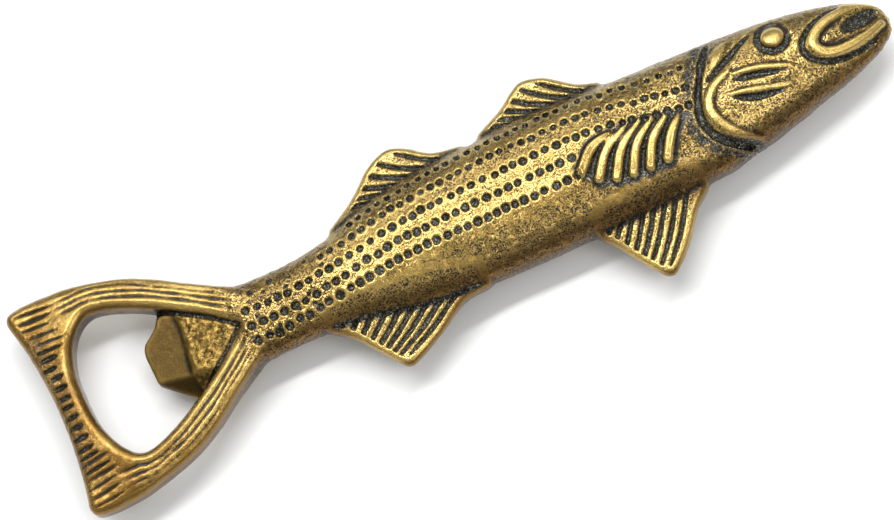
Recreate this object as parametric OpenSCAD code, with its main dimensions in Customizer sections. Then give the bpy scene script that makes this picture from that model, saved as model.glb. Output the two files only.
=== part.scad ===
// A cast brass fish, a striped bass, whose tail fin is the ring of a bottle opener.
// It lies on its left flank: +X to the snout, +Y to the back, +Z out of the right flank.
// Inside this file x runs from 0 at the tail tips to the snout, y = 0 is the line of the tail
// and z = 0 is the middle plane. place() moves that to the frame of the whole part.

/* [Body] */
// Length from the tail tips to the snout
length = 165; // [160:1:170]
// Depth of the body from back to belly at its deepest place
body_depth = 25.4; // [24:0.2:27]
// Thickness of the body from flank to flank at its thickest place
body_thickness = 14.4; // [13:0.2:16]
// Depth of the stem of the tail where it is narrowest
stem_depth = 14.3; // [13.6:0.1:15]
// Distance from the tail tips to the front end of the stem
stem_front = 58; // [56:0.5:60]
// Distance from the tail tips to the rear edge of the gill cover
gill_x = 129; // [127:0.5:131]
// Depth of the head at the gill cover
gill_depth = 23.2; // [22:0.2:24]

/* [Tail and mouth] */
// Distance from the tail tips to the fork where the two arms part
fork_x = 38.5; // [37.5:0.5:39.5]
// Width of the whole tail fin from tip to tip
tail_span = 41; // [40:0.5:43]
// Thickness of the tail fin
tail_thickness = 6.4; // [5.6:0.2:7]
// How deep the rear edge of the tail is hollowed
tail_hollow = 2.2; // [1.5:0.1:3]
// How far the lower tail tip stands ahead of the upper one
tail_skew = 1.1; // [0:0.1:1.4]
// Widest place of the mouth that takes the bottle cap
mouth_width = 27.8; // [27.2:0.1:28.6]
// Distance from the tail tips to the inner edge of the rear bar
bar_x = 7.1; // [6.8:0.1:7.6]
// Distance from the tail tips to the edge of the prying lip
lip_x = 20.5; // [19.8:0.1:21.2]
// Width of the prying lip at its edge
lip_width = 8; // [7:0.1:9]
// Thickness of the prying lip at its edge
lip_thickness = 2.7; // [2.2:0.1:3.2]

/* [Fins] */
// Thickness of the fins of the back and the belly
fin_thickness = 3.2; // [2.4:0.1:4]
// Height of the first dorsal fin's tip above the line of the tail
first_dorsal_tip = 19.5; // [17:0.2:20]
// Height of the second dorsal fin's tip above the line of the tail
second_dorsal_tip = 18.6; // [17:0.2:20]
// Depth of the anal fin's tip below the line of the tail
anal_tip = 19.3; // [18:0.2:21]
// Depth of the pelvic fin's tip below the line of the tail
pelvic_tip = 24.4; // [22:0.2:26]
// Number of fingers in each pectoral fin
fingers = 6; // [4:1:8]

/* [Head] */
// How far the gill covers, eyes, mouth rims and pectoral fins stand out of the flanks
relief = 0.8; // [0.5:0.1:1.1]
// Length of the eye
eye_length = 4.4; // [3.6:0.1:5.2]
// Width of the raised rim of the gill cover
gill_rim = 2.2; // [1.6:0.1:2.8]
// Width of the raised rim round the mouth
mouth_rim = 1.6; // [1.2:0.1:2]

/* [Hidden] */

// How square the body's cross-section is: 2 is an ellipse
section_power = 2.3;
// Number of sides of the body's cross-section
section_sides = 48;
// Number of points between two control points of an outline
curve_steps = 4;
// Rear end of the arms, where they meet the rear edge of the tail
arm_rear = 12;
// Height of the snout above the line of the tail
snout_y = 1.6;
gill_y = -0.15;
gill_thickness = 0.96 * body_thickness;
// Reach of a cutting solid past the surface that it cuts
past = 12;

// Stations of the stem and the trunk: x, half the depth, centre height, half the thickness
body_stations = [
    [fork_x, stem_depth / 2 + 0.3, 0, tail_thickness / 2 + 0.5],
    [48, stem_depth / 2, -0.2, 0.32 * body_thickness],
    [stem_front, stem_depth / 2 + 0.9, 0, 0.37 * body_thickness],
    [70, 0.43 * body_depth, 0.2, 0.43 * body_thickness],
    [85, 0.484 * body_depth, 0.25, 0.48 * body_thickness],
    [103, body_depth / 2 - 0.1, 0.15, body_thickness / 2],
    [117, 0.487 * body_depth, -0.15, body_thickness / 2 - 0.1],
    [gill_x, gill_depth / 2, gill_y, gill_thickness / 2]
];

// Half of the tail's outer edge, from the fork to the tip, and of the mouth's edge, where the cap goes
tip_y = tail_span / 2;
cap_y = mouth_width / 2;
outer_edge = [[fork_x, stem_depth / 2 + 0.3], [33, tip_y - 9.7], [27, tip_y - 5.7], [21, tip_y - 2.8],
    [arm_rear, tip_y - 0.5], [6, tip_y], [2.4, tip_y - 0.1], [0.6, tip_y - 0.6], [0, tip_y - 1.8]];
mouth_edge = [[fork_x, 0], [33, cap_y - 9.4], [25.4, cap_y - 4.5], [20, cap_y - 1.6], [15, cap_y],
    [arm_rear, cap_y - 0.9], [9.2, cap_y - 3.9], [bar_x + 0.3, 5], [bar_x, 0]];
// Where the tail tip starts and where the prying lip leaves the arms, as places in the lists above
tip_start = 4;
bar_start = 5;
lip_corner = 2;

// Smooth curve through a list of points, by Catmull and Rom
function knot(points, i) = points[max(0, min(len(points) - 1, i))];
function blend(a, b, c, d, t) =
    b + t * (c - a) / 2 + t * t * (2 * a - 5 * b + 4 * c - d) / 2
        + t * t * t * (3 * b - a - 3 * c + d) / 2;
function curve(points, first = 0, last = undef) =
    let(end = is_undef(last) ? len(points) - 1 : last)
    [for (i = [first : end - 1], s = [0 : curve_steps - 1])
        blend(knot(points, i - 1), knot(points, i), knot(points, i + 1), knot(points, i + 2),
            s / curve_steps),
        points[end]];
function reversed(points) = [for (i = [len(points) - 1 : -1 : 0]) points[i]];
function flipped(points) = [for (p = reversed(points)) [p.x, -p.y]];

// Value of one column of a list of stations at x
function stretch(list, x, i = 0) =
    i >= len(list) - 2 || x <= list[i + 1][0] ? i : stretch(list, x, i + 1);
function slope(list, i, c) =
    let(lo = list[max(0, i - 1)], hi = list[min(len(list) - 1, i + 1)])
    (hi[c] - lo[c]) / (hi[0] - lo[0]);
function value(list, x, c) =
    let(i = stretch(list, x), span = list[i + 1][0] - list[i][0], t = (x - list[i][0]) / span,
        t2 = t * t, t3 = t2 * t)
    (2 * t3 - 3 * t2 + 1) * list[i][c] + (t3 - 2 * t2 + t) * span * slope(list, i, c)
        + (3 * t2 - 2 * t3) * list[i + 1][c] + (t3 - t2) * span * slope(list, i + 1, c);

// The body's half depth, centre height and half thickness: stations to the gill, then a blunt ogive
function nose(x) = min(0.9986, max(0, (x - gill_x) / (length - gill_x)));
function half_depth(x) =
    x <= gill_x ? value(body_stations, x, 1) : gill_depth / 2 * pow(1 - pow(nose(x), 1.1), 0.42);
function half_thickness(x) =
    x <= gill_x ? value(body_stations, x, 3) : gill_thickness / 2 * pow(1 - pow(nose(x), 1.6), 0.5);
function centre(x) =
    x <= gill_x ? value(body_stations, x, 2)
        : gill_y + (snout_y - gill_y) * sin(90 * min(1, 1.15 * nose(x)));

// One cross-section of the body, grown outwards by a margin
function signed_power(v, p) = sign(v) * pow(abs(v), p);
function section(x, grow) = [for (i = [0 : section_sides - 1])
    let(t = 360 * i / section_sides)
    [x, centre(x) + (half_depth(x) + grow) * signed_power(cos(t), 2 / section_power),
        (half_thickness(x) + grow) * signed_power(sin(t), 2 / section_power)]];

// Closed solid through the cross-sections at a list of x
module loft(stations, grow = 0) {
    n = section_sides;
    last = len(stations) - 1;
    points = [for (x = stations) each section(x, grow)];
    sides = [for (k = [0 : last - 1], i = [0 : n - 1])
        let(a = k * n + i, b = k * n + (i + 1) % n)
        each [[a, b, b + n], [a, b + n, a + n]]];
    caps = [[for (i = [0 : n - 1]) n - 1 - i], [for (i = [0 : n - 1]) last * n + i]];
    polyhedron(points = points, faces = [for (f = concat(sides, caps)) reversed(f)]);
}
function even(from, to, count) = [for (k = [0 : count]) from + (to - from) * k / count];
// Stations that crowd together towards the snout
function crowding(from, to, count) = [for (k = [0 : count]) from + (to - from) * sin(90 * k / count)];

// The body between two places, used to cut what stands on it to its surface
module body_between(from, to, grow = 0) {
    loft(even(from, to, max(6, round((to - from) / 4))), grow);
}

// Moves the part from the fish's own lines to the frame of the whole part
tip_points = skewed(curve(outer_edge, tip_start));
tip_back = min([for (p = tip_points) p.x]);
top_y = max([for (p = tip_points) p.y]);
module place() {
    translate([-(length + tip_back) / 2, (pelvic_low - top_y) / 2, body_thickness / 2 + relief])
        children();
}
module brass() {
    color([0.66, 0.50, 0.24]) place() children();
}

// A flat plate of the fish's outline, centred on the middle plane
module plate(points, thickness) {
    translate([0, 0, -thickness / 2]) linear_extrude(thickness) polygon(points);
}

module trunk() {
    brass() loft(even(stem_front, gill_x, 24));
}
module head() {
    brass() loft(crowding(gill_x, length, 22));
}
module tail_stem() {
    brass() loft(even(fork_x, stem_front, 8));
}

// The arms run from the fork along the outer edge, and back along the mouth's edge
arm_outer = curve(outer_edge, 0, tip_start);
arm_inner = curve(mouth_edge, 0, bar_start);
module tail_arm() {
    plate(concat(arm_outer, reversed(arm_inner)), tail_thickness);
}
module upper_tail_arm() {
    brass() tail_arm();
}
module lower_tail_arm() {
    brass() mirror([0, 1, 0]) tail_arm();
}

// The rear bar and both tips of the tail, with a hollow rear edge that leans a little
function skewed(points) = [for (p = points)
    [p.x + tail_skew * (0.5 - p.y / tail_span) * (1 - pow(p.x / arm_rear, 6)), p.y]];
module tail_edge() {
    tip = curve(outer_edge, tip_start);
    bar = curve(mouth_edge, bar_start);
    corner = outer_edge[len(outer_edge) - 1];
    rear = [for (k = [-8 : 8])
        let(y = -corner.y * k / 9) [corner.x + tail_hollow * (1 - pow(y / corner.y, 2)), y]];
    rim = concat(tip, rear, flipped(tip));
    inside = concat(bar, [for (p = flipped(bar)) if (p.y < 0) p]);
    brass() plate(skewed(concat(rim, reversed(inside))), tail_thickness);
}

// The prying lip fills the fork and slopes down to its edge in the mouth. The corner of the edge is
// round towards the back and sharp towards the belly.
lip_root = curve(mouth_edge, 0, lip_corner);
lip_back = curve([mouth_edge[lip_corner], [lip_x + 3.6, 6.8], [lip_x + 0.6, 0.58 * lip_width],
    [lip_x, 0.3 * lip_width]]);
lip_belly = [[lip_x + 0.2, -0.33 * lip_width], [lip_x + 4.8, -7]];
lip_floor = -tail_thickness / 2 + 0.2;
module prying_lip() {
    ends = [for (p = flipped(lip_root)) if (p.x < fork_x) p];
    outline = concat(lip_root, [for (k = [1 : len(lip_back) - 1]) lip_back[k]], lip_belly, ends);
    profile = [[lip_x - 1, lip_floor], [fork_x + 1, lip_floor], [fork_x + 1, tail_thickness / 2 - 0.7],
        [lip_x + 8, lip_floor + lip_thickness + 1.3], [lip_x - 1, lip_floor + lip_thickness - 0.1]];
    brass() intersection() {
        plate(outline, tail_thickness);
        translate([0, past, 0]) rotate([90, 0, 0]) linear_extrude(2 * past) polygon(profile);
    }
}

// A fin is a plate that stands on the body, cut to the body's surface
module fin(points) {
    along = [for (p = points) p.x];
    brass() difference() {
        plate(points, fin_thickness);
        body_between(min(along) - 2, max(along) + 2);
    }
}
first_dorsal = [[92, 6], [89, 12.2], [95.6, first_dorsal_tip - 3.3], [99.7, first_dorsal_tip - 0.5],
    [102, first_dorsal_tip], [105.7, first_dorsal_tip - 1.3], [110.1, first_dorsal_tip - 4.9],
    [114.4, 12.2], [113, 6]];
module first_dorsal_fin() {
    fin(curve(first_dorsal));
}
second_dorsal = [[62, 3], [58, 7.6], [65, second_dorsal_tip - 6], [70, second_dorsal_tip - 1.7],
    [74.3, second_dorsal_tip], [77.8, second_dorsal_tip - 1.4], [81.5, second_dorsal_tip - 4.2],
    [88, 12.1], [85, 6]];
module second_dorsal_fin() {
    fin(curve(second_dorsal));
}
anal = [[60, -3], [52.4, -6.8], [56, -11], [60.5, 2.1 - anal_tip], [62.4, -anal_tip],
    [64.6, 0.5 - anal_tip], [70, 3.1 - anal_tip], [76, 6.6 - anal_tip], [82, -11.5], [78, -5]];
module anal_fin() {
    fin(curve(anal));
}
pelvic = [[107, -6], [101.6, -11.4], [104.3, 8.6 - pelvic_tip], [108.6, 1.9 - pelvic_tip],
    [110.6, -pelvic_tip], [112.4, 0.8 - pelvic_tip], [116.1, 4.4 - pelvic_tip], [119.7, 8.9 - pelvic_tip],
    [123.4, -11.6], [120, -6]];
pelvic_low = -min([for (p = curve(pelvic)) p.y]);
module pelvic_fin() {
    fin(curve(pelvic));
}

// A raised detail of the right flank: an outline carried up to a height above the flank's surface
module raised(from, to, height = relief) {
    difference() {
        intersection() {
            linear_extrude(past) children();
            body_between(from, to, height);
        }
        body_between(from - 1, to + 1);
    }
}
module left() {
    mirror([0, 0, 1]) children();
}

// The pectoral fin is a fan of fingers, each a tapered bar with round ends, on a thin web
function arc(middle, radius, from, to, steps = 5) =
    [for (k = [0 : steps])
        let(way = from + (to - from) * k / steps) middle + radius * [cos(way), sin(way)]];
module finger(root, tip, root_r, tip_r) {
    way = atan2(tip.y - root.y, tip.x - root.x);
    polygon(concat(arc(tip, tip_r, way - 90, way + 90), arc(root, root_r, way + 90, way + 270)));
}
function finger_root(t) = [111.6 + 13.2 * t - 1.4 * pow(t, 3), 1.7 - 2.1 * pow(t, 2.6)];
function finger_tip(t) = [103.9 + 14.6 * pow(t, 1.15), -6.6 + 4.1 * pow(1 - t, 3.6)];
module pectoral_fin() {
    steps = [for (k = [0 : fingers - 1]) k / (fingers - 1)];
    raised(101, 126, 0.4 * relief)
        polygon(concat([for (t = steps) finger_root(t)], reversed([for (t = steps) finger_tip(t)])));
    raised(101, 126)
        for (t = steps) finger(finger_root(t), finger_tip(t), 4.2 / fingers, 6 / fingers);
}
module right_pectoral_fin() {
    brass() pectoral_fin();
}
module left_pectoral_fin() {
    brass() left() pectoral_fin();
}

// The gill cover's rim is a crescent just ahead of the gill slit
gill_curve = curve([[133.4, 9], [130.6, 5.2], [128.5, 1.8], [127.8, -2], [128.9, -6], [131.6, -8.9],
    [134.2, -10.3]]);
module gill_cover() {
    last = len(gill_curve) - 1;
    front = [for (k = [0 : last]) gill_curve[k] + [gill_rim * sin(180 * k / last), 0]];
    raised(126, 137) polygon(concat(gill_curve, [for (k = [last - 1 : -1 : 1]) front[k]]));
}
module right_gill_cover() {
    brass() gill_cover();
}
module left_gill_cover() {
    brass() left() gill_cover();
}

eye_place = [144.4, 5.8];
module eye() {
    raised(141, 149) translate(eye_place) circle(d = eye_length, $fn = 32);
}
module right_eye() {
    brass() eye();
}
module left_eye() {
    brass() left() eye();
}

// The mouth's rim is a U that opens towards the snout
mouth_line = curve([[160.4, 5.4], [156.2, 5.7], [152, 4.4], [149.4, 2], [149.8, -0.4], [152.6, -2],
    [156, -2.4], [160.2, -1.6]]);
module mouth_side() {
    last = len(mouth_line) - 1;
    inner = [for (k = [last : -1 : 0])
        let(p = mouth_line[k], way = mouth_line[min(last, k + 1)] - mouth_line[max(0, k - 1)])
        p + mouth_rim * sin(180 * (k + 1.5) / (last + 3)) * [-way.y, way.x] / norm(way)];
    raised(148, 163) polygon(concat(mouth_line, inner));
}
module right_mouth_rim() {
    brass() mouth_side();
}
module left_mouth_rim() {
    brass() left() mouth_side();
}

trunk();
head();
tail_stem();
upper_tail_arm();
lower_tail_arm();
tail_edge();
prying_lip();
first_dorsal_fin();
second_dorsal_fin();
pelvic_fin();
anal_fin();
right_pectoral_fin();
left_pectoral_fin();
right_gill_cover();
left_gill_cover();
right_eye();
left_eye();
right_mouth_rim();
left_mouth_rim();
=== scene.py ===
"""A cast brass fish bottle opener: one distance field round the CAD model, cut into its features."""
import math
import bpy
import numpy as np
from mathutils import Matrix, Vector


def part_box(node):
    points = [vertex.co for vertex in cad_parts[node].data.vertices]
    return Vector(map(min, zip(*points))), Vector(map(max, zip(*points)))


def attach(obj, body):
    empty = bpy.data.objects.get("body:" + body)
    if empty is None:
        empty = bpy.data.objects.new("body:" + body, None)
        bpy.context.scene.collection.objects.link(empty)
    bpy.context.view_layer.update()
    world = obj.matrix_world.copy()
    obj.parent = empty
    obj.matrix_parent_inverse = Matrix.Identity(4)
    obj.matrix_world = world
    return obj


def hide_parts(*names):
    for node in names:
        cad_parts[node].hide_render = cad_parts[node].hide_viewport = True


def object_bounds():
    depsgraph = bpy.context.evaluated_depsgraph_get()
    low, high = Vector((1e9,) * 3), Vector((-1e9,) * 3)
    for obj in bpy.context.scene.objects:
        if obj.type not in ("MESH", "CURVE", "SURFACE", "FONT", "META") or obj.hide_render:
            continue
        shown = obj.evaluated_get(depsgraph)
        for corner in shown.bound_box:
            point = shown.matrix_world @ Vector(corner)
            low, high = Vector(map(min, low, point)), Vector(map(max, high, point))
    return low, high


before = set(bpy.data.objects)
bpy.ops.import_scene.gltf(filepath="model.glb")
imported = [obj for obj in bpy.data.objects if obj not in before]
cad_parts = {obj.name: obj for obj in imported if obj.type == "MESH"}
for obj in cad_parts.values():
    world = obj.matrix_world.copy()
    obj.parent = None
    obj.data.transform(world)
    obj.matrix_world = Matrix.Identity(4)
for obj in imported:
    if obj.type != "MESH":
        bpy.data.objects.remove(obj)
CAD_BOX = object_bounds()
NODES = sorted(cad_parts)

# ---- The fish's own lines, in millimetres: x to the snout, y to the back, z out of the right flank
MM = 0.001
LENGTH = (CAD_BOX[1][0] - CAD_BOX[0][0]) / MM
TAIL_LO, TAIL_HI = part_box("tail_edge")
ORIGIN = np.array([CAD_BOX[0][0], (TAIL_LO.y + TAIL_HI.y) / 2, (TAIL_LO.z + TAIL_HI.z) / 2])
STEP = 0.22
MARGIN = 1.6
SEED = 7


def box_mm(node):
    """Lowest and highest corners of a CAD node on the fish's own lines."""
    lo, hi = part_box(node)
    return (np.array(lo) - ORIGIN) / MM, (np.array(hi) - ORIGIN) / MM


def vertices_mm(node):
    """The points of a CAD node on the fish's own lines."""
    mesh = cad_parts[node].data
    co = np.zeros(len(mesh.vertices) * 3)
    mesh.vertices.foreach_get("co", co)
    return (co.reshape(-1, 3) - ORIGIN) / MM


FISH_LO = (np.array(CAD_BOX[0]) - ORIGIN) / MM
FISH_HI = (np.array(CAD_BOX[1]) - ORIGIN) / MM
GX = np.arange(FISH_LO[0] - MARGIN, FISH_HI[0] + MARGIN, STEP)
GY = np.arange(FISH_LO[1] - MARGIN, FISH_HI[1] + MARGIN, STEP)
GZ = np.arange(FISH_LO[2] - MARGIN, FISH_HI[2] + MARGIN, STEP)
START = np.array([GX[0], GY[0], GZ[0]])
PX, PY = np.meshgrid(GX, GY, indexing="ij")
HALF_TAIL = (TAIL_HI.z - TAIL_LO.z) / 2 / MM
FORK_X = box_mm("upper_tail_arm")[1][0]
ARM_REAR = box_mm("upper_tail_arm")[0][0]
STEM_FRONT = box_mm("tail_stem")[1][0]
GILL_X = box_mm("trunk")[1][0]
SECTION_POWER = 2.3


# ---- Small tools for fields
def smoothstep(lo, hi, v):
    t = np.clip((v - lo) / (hi - lo), 0, 1)
    return t * t * (3 - 2 * t)


def smooth_min(a, b, k):
    h = np.clip(0.5 + 0.5 * (b - a) / k, 0, 1)
    return b + (a - b) * h - k * h * (1 - h)


def smooth_max(a, b, k):
    return -smooth_min(-a, -b, k)


def span(grid, lo, hi):
    """Slice of a grid line between two places."""
    return slice(max(0, int((lo - grid[0]) / STEP)), min(len(grid), int((hi - grid[0]) / STEP) + 2))


def window(lo, hi):
    """The part of the plan between two corners."""
    return span(GX, lo[0], hi[0]), span(GY, lo[1], hi[1])


def blur(values, sigma, axes=None):
    """Gaussian blur, sigma in millimetres."""
    reach = max(1, int(2.5 * sigma / STEP))
    taps = np.exp(-0.5 * (np.arange(-reach, reach + 1) * STEP / sigma) ** 2)
    taps = (taps / taps.sum()).astype(values.dtype)
    for axis in axes if axes is not None else range(values.ndim):
        pad = [(0, 0)] * values.ndim
        pad[axis] = (reach, reach)
        wide = np.pad(values, pad, mode="edge")
        size = values.shape[axis]
        out = np.zeros_like(values)
        for k, tap in enumerate(taps):
            cut = [slice(None)] * values.ndim
            cut[axis] = slice(k, k + size)
            out += tap * wide[tuple(cut)]
        values = out
    return values


def curve(points, steps=10):
    """Smooth curve through a few points."""
    p = np.array(points, float)
    p = np.vstack([2 * p[0] - p[1], p, 2 * p[-1] - p[-2]])
    out = []
    for i in range(1, len(p) - 2):
        for t in np.linspace(0, 1, steps, endpoint=False):
            a, b, c, d = p[i - 1:i + 3]
            turn = 2 * a - 5 * b + 4 * c - d
            out.append(b + t * (c - a) / 2 + t * t * turn / 2 + t ** 3 * (3 * b - a - 3 * c + d) / 2)
    return np.array(out + [p[-2]])


def noise(size, seed):
    """Smooth 3-D noise of about unit strength whose lumps are one size apart, on the whole grid."""
    rng = np.random.default_rng(seed)
    shape = [int((g[-1] - g[0]) / size) + 3 for g in (GX, GY, GZ)]
    values = rng.standard_normal(shape).astype(np.float32)
    for axis, grid in enumerate((GX, GY, GZ)):
        place = (grid - grid[0]) / size
        low = place.astype(int)
        t = smoothstep(0, 1, place - low).astype(np.float32)
        t = t.reshape([-1 if a == axis else 1 for a in range(3)])
        values = np.take(values, low, axis) * (1 - t) + np.take(values, low + 1, axis) * t
    return values


# ---- Shapes read from the CAD model
def body_sections():
    """Half depth, centre height and half thickness of the body at each of the CAD model's cross-sections."""
    rows = {}
    for node in ("tail_stem", "trunk", "head"):
        points = vertices_mm(node)
        for x in np.unique(np.round(points[:, 0], 2)):
            ring = points[np.abs(points[:, 0] - x) < 0.02]
            low, high = ring[:, 1].min(), ring[:, 1].max()
            rows[x] = (x, (high - low) / 2, (high + low) / 2, ring[:, 2].max())
    return np.array([rows[x] for x in sorted(rows)])


def through(x, xs, values):
    """Smooth curve through the values at xs, taken at x."""
    slopes = np.gradient(values, xs)
    i = np.clip(np.searchsorted(xs, x) - 1, 0, len(xs) - 2)
    gap = xs[i + 1] - xs[i]
    t = np.clip((x - xs[i]) / gap, 0, 1)
    rise = (3 * t ** 2 - 2 * t ** 3) * (values[i + 1] - values[i])
    leaving = (t ** 3 - 2 * t ** 2 + t) * slopes[i]
    arriving = (t ** 3 - t ** 2) * slopes[i + 1]
    return values[i] + rise + gap * (leaving + arriving)


def plate_edges(node, top=True):
    """Directed edges round the flat top (or bottom) face of a CAD plate, seen from above."""
    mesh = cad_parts[node].data
    points = vertices_mm(node)
    level = points[:, 2].max() if top else points[:, 2].min()
    flat = np.abs(points[:, 2] - level) < 0.01
    edges = set()
    for poly in mesh.polygons:
        if all(flat[i] for i in poly.vertices):
            ring = [tuple(np.round(points[i, :2], 3)) for i in poly.vertices]
            edges.update(zip(ring, ring[1:] + ring[:1]))
    if not top:
        edges = {(b, a) for a, b in edges}
    return {(a, b) for a, b in edges if (b, a) not in edges}


def ordered(edges):
    """The chains and closed loops that directed edges make."""
    follow = dict(edges)
    chains = []
    while follow:
        chain = [min(set(follow) - set(follow.values()) or follow)]
        while chain[-1] in follow:
            chain.append(follow.pop(chain[-1]))
        chains.append(np.array(chain[:-1] if chain[0] == chain[-1] else chain))
    return chains


def rounded(loop, passes=2):
    """Cuts the corners off a closed loop."""
    for _ in range(passes):
        after = np.roll(loop, -1, axis=0)
        loop = np.stack([0.75 * loop + 0.25 * after, 0.25 * loop + 0.75 * after], 1).reshape(-1, 2)
    return loop


def plan_distance(loops, px=None, py=None):
    """Signed distance in plan to closed loops: negative inside."""
    px = PX if px is None else px
    py = PY if py is None else py
    nearest = np.full(px.shape, 1e9)
    inside = np.zeros(px.shape, bool)
    for loop in loops:
        for a, b in zip(loop, np.roll(loop, -1, axis=0)):
            way = b - a
            t = np.clip(((px - a[0]) * way[0] + (py - a[1]) * way[1]) / max(way @ way, 1e-9), 0, 1)
            nearest = np.minimum(nearest, (px - a[0] - t * way[0]) ** 2 + (py - a[1] - t * way[1]) ** 2)
            if a[1] != b[1]:
                crosses = (a[1] > py) != (b[1] > py)
                inside ^= crosses & (px < a[0] + (py - a[1]) * way[0] / way[1])
    return np.where(inside, -1, 1) * np.sqrt(nearest)


def rounded_plate(across, out, radius):
    """Distance to a plate whose edge is round, from how far a place is past the round's middle each way."""
    corner = np.sqrt(np.maximum(across, 0) ** 2 + np.maximum(out, 0) ** 2)
    return (corner + np.minimum(np.maximum(across, out), 0) - radius).astype(np.float32)


# ---- The body
SECTIONS = body_sections()
HALF_DEPTH, CENTRE, HALF_THICK = (through(GX, SECTIONS[:, 0], SECTIONS[:, k]) for k in (1, 2, 3))
CENTRE_MEAN = float(np.mean(SECTIONS[:, 2]))


def body_field():
    """Distance to the body's skin: superelliptic cross-sections from the fork of the tail to the snout."""
    shape = (len(GX), 1, 1)
    depth = np.maximum(HALF_DEPTH, 0.4).reshape(shape)
    thick = np.maximum(HALF_THICK, 0.3).reshape(shape)
    across = (np.abs(GY.reshape(1, -1, 1) - CENTRE.reshape(shape)) / depth) ** SECTION_POWER
    out = (np.abs(GZ.reshape(1, 1, -1)) / thick) ** SECTION_POWER
    field = ((across + out).astype(np.float32) + 1e-6) ** (1 / SECTION_POWER) - 1
    steep = np.zeros_like(field)
    for axis in range(3):
        steep += np.gradient(field, STEP, axis=axis) ** 2
    field /= np.sqrt(steep) + 1e-4
    np.clip(field, -6, 6, out=field)
    x = GX.reshape(shape).astype(np.float32)
    field = smooth_max(field, x - LENGTH, 0.8)
    return smooth_max(field, FORK_X - x, 1.2)


# ---- The tail
TAIL_PLATES = ("upper_tail_arm", "lower_tail_arm", "tail_edge")
EDGE_ROUND = 1.7


def tail_loops():
    """The ring's hole and its outer edge, which is narrowed where it is carried on into the stem."""
    edges = set()
    for node in TAIL_PLATES:
        edges |= plate_edges(node)
    front = {e for e in edges if min(e[0][0], e[1][0]) > FORK_X - 0.02}
    edges = {(a, b) for a, b in edges - front if (b, a) not in edges}
    hole, outer = sorted(ordered(edges), key=lambda chain: np.ptp(chain[:, 1]))
    into, waist = FORK_X + 4, 0.55
    outer = np.vstack([outer, [(into, waist * outer[-1][1]), (into, waist * outer[0][1])]])
    return rounded(hole, 1), rounded(outer, 1)


def tail_plan(loops):
    """Signed distance in plan to the tail's ring."""
    return blur(plan_distance(list(loops)).astype(np.float32), 0.25) - 0.18


def tail_field(plan, hole):
    """The ring: a plate with rounded edges that thickens towards the stem. Its upper face falls away from
    the hole."""
    thick = HALF_TAIL + 0.5 * smoothstep(FORK_X - 10, FORK_X, PX)
    from_hole = np.abs(blur(plan_distance([hole]).astype(np.float32), 0.4))
    fall = np.clip(0.14 * (from_hole - 1.3), 0, 1.0) * smoothstep(FORK_X - 4, FORK_X - 14, PX)
    across = (plan + EDGE_ROUND)[:, :, None]
    z = GZ[None, None, :]
    above = z - (thick - fall - EDGE_ROUND)[:, :, None]
    out = np.where(z > 0, above, -z - (thick - EDGE_ROUND)[:, :, None])
    return rounded_plate(across, out, EDGE_ROUND)


# ---- The prying lip
LIP_LO = box_mm("prying_lip")[0]
LIP_TOP_EDGE = LIP_LO[2] + 2.6


def lip_plan():
    """Signed distance in plan to the lip, carried on a little way under the arms and into the stem."""
    loop = ordered(plate_edges("prying_lip", top=False))[0]
    spread = np.clip((loop[:, 0] - (LIP_LO[0] + 5.2)) / 2, 0, 1)
    loop = loop + np.stack([0 * spread, 1.2 * spread * np.sign(loop[:, 1])], 1)
    loop[:, 0] += 3 * (loop[:, 0] > FORK_X - 1)
    return blur(plan_distance([loop]).astype(np.float32), 0.2) - 0.2


def lip_brow(y):
    """Where the ground face of the lip ends and its rough-cast root begins."""
    return LIP_LO[0] + 7.2 + 0.5 * np.sin(y / 3)


def lip_field(plan):
    """A wedge: rough-cast near the fork, then ground down to a blunt edge, with the belly side cut away."""
    x, y, z = GX[:, None, None], GY[None, :, None], GZ[None, None, :]
    brow = lip_brow(y)
    ground = LIP_TOP_EDGE + 0.22 * (x - LIP_LO[0])
    cast = LIP_TOP_EDGE + 2.1 + 0.13 * (x - brow)
    top = np.where(x > brow, cast, np.minimum(ground, cast))
    top = blur(top.astype(np.float32), 0.35, (0, 1))
    field = smooth_max((z - top) * 0.95, LIP_LO[2] - z, 0.6)
    belly = -0.333 * (x - LIP_LO[0] - 0.2) - 0.667 * (y + 2.7) + 0.667 * (z - LIP_TOP_EDGE)
    back = -0.30 * (x - LIP_LO[0] - 0.4) + 0.667 * (y - 7.2) + 0.70 * (z - LIP_TOP_EDGE)
    field = smooth_max(smooth_max(field, belly, 0.3), back, 0.3)
    return smooth_max(field, plan[:, :, None], 0.5).astype(np.float32)


# ---- The fins
FINS = ("first_dorsal_fin", "second_dorsal_fin", "pelvic_fin", "anal_fin")
FIN_BORDER = 1.3
FIN_ROUND = 1.2


def body_plan(x, y):
    """Roughly how far a place in plan is outside the body's outline."""
    i = np.clip(np.round((x - GX[0]) / STEP).astype(int), 0, len(GX) - 1)
    return np.abs(y - CENTRE[i]) - HALF_DEPTH[i]


def fin_outline(node):
    """The fin's free edge read from its plate, closed by a line well inside the body."""
    loop = ordered(plate_edges(node))[0]
    free = body_plan(loop[:, 0], loop[:, 1]) > 0.1
    loop, free = np.roll(loop, -np.argmin(free), axis=0), np.roll(free, -np.argmin(free))
    edge = loop[free]
    side = np.sign(edge[:, 1].mean())
    ends = [edge[-1] - [0, 5 * side], edge[0] - [0, 5 * side]]
    return np.vstack([edge, ends])


def fin_plan(node):
    """Signed distance in plan to one fin, on the whole grid."""
    lo, hi = box_mm(node)
    cut = window(lo - 5, hi + 5)
    plan = np.full(PX.shape, 9.0, np.float32)
    plan[cut] = plan_distance([rounded(fin_outline(node), 1)], PX[cut], PY[cut])
    return blur(plan, 0.2) - 0.15


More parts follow.
